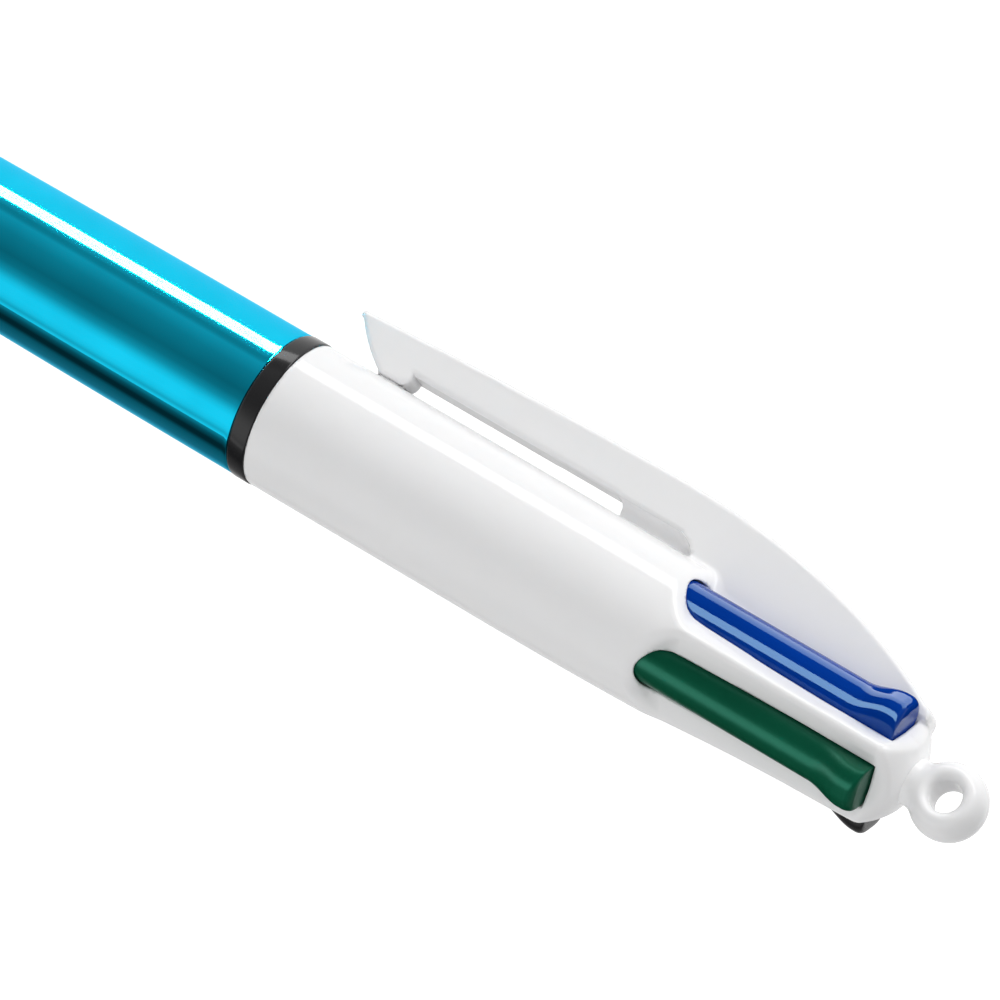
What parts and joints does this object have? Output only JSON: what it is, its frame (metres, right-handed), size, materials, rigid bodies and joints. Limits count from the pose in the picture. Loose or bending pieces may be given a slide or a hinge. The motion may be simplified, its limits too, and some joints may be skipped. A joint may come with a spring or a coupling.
{
  "type": "multicolor ballpoint pen",
  "caption": "Ballpoint pen with thumb sliders that each push one colour of refill out of a screwed-on metallic barrel, a moulded clip and a lanyard loop.",
  "frame": {"origin": "centre of the nose's end, on the pen's axis, where a point comes out", "axes": "+Z along the pen's axis from the nose to the loop; the clip is on the -X side; the loop's hole runs along Y; blue 225 degrees, green 315, black 45 and red 135 about Z from +X"},
  "size_m": [0.0166, 0.012, 0.1471],
  "materials": {
    "barrel_metallic": "mirror-bright cyan metallised coating under a clear lacquer",
    "ring_black": "gloss black moulding",
    "body_white": "gloss white moulding",
    "core_white": "plain natural moulding",
    "plastic_blue": "gloss blue moulding",
    "plastic_green": "satin green moulding",
    "plastic_black": "satin black moulding",
    "plastic_red": "gloss red moulding",
    "ink_blue": "clear tube with blue ink behind it",
    "ink_green": "clear tube with green ink behind it",
    "ink_black": "clear tube with black ink behind it",
    "ink_red": "clear tube with red ink behind it",
    "point_brass": "turned, fine lathe lines",
    "spring_steel": "bright drawn wire",
    "ball_steel": "polished carbide ball"
  },
  "bodies": {
    "casing": {"upper_body": "body_white", "end_plug": "body_white", "guide_core": "core_white", "spring_blue": "spring_steel", "spring_green": "spring_steel", "spring_black": "spring_steel", "spring_red": "spring_steel"},
    "collar": {"trim_ring": "ring_black"},
    "barrel": {"lower_barrel": "barrel_metallic"},
    "blue_unit": {"slider_blue": "plastic_blue", "refill_tube_blue": "ink_blue", "refill_point_blue": "point_brass", "writing_ball_blue": "ball_steel"},
    "green_unit": {"slider_green": "plastic_green", "refill_tube_green": "ink_green", "refill_point_green": "point_brass", "writing_ball_green": "ball_steel"},
    "black_unit": {"slider_black": "plastic_black", "refill_tube_black": "ink_black", "refill_point_black": "point_brass", "writing_ball_black": "ball_steel"},
    "red_unit": {"slider_red": "plastic_red", "refill_tube_red": "ink_red", "refill_point_red": "point_brass", "writing_ball_red": "ball_steel"}
  },
  "joints": [
    {"name": "blue_push", "type": "slide", "parent": "casing", "child": "blue_unit", "axis": [0, 0, -1], "range_m": [0, 0.0088], "stiffness_N_per_m": 60, "deforming": ["spring_blue"]},
    {"name": "green_push", "type": "slide", "parent": "casing", "child": "green_unit", "axis": [0, 0, -1], "range_m": [0, 0.0088], "stiffness_N_per_m": 60, "deforming": ["spring_green"]},
    {"name": "black_push", "type": "slide", "parent": "casing", "child": "black_unit", "axis": [0, 0, -1], "range_m": [0, 0.0088], "stiffness_N_per_m": 60, "deforming": ["spring_black"]},
    {"name": "red_push", "type": "slide", "parent": "casing", "child": "red_unit", "axis": [0, 0, -1], "range_m": [0, 0.0088], "stiffness_N_per_m": 60, "deforming": ["spring_red"]},
    {"name": "barrel_advance", "type": "slide", "parent": "casing", "child": "collar", "axis": [0, 0, 1], "range_m": [-0.01, 0]},
    {"name": "barrel_turn", "type": "hinge", "parent": "collar", "child": "barrel", "pos_m": [0, 0, 0], "axis": [0, 0, 1], "range_deg": [-1800, 0]}
  ],
  "couplings": [
    {"joint": "barrel_turn", "follows": "barrel_advance", "rad_per_m": 3141.6}
  ]
}
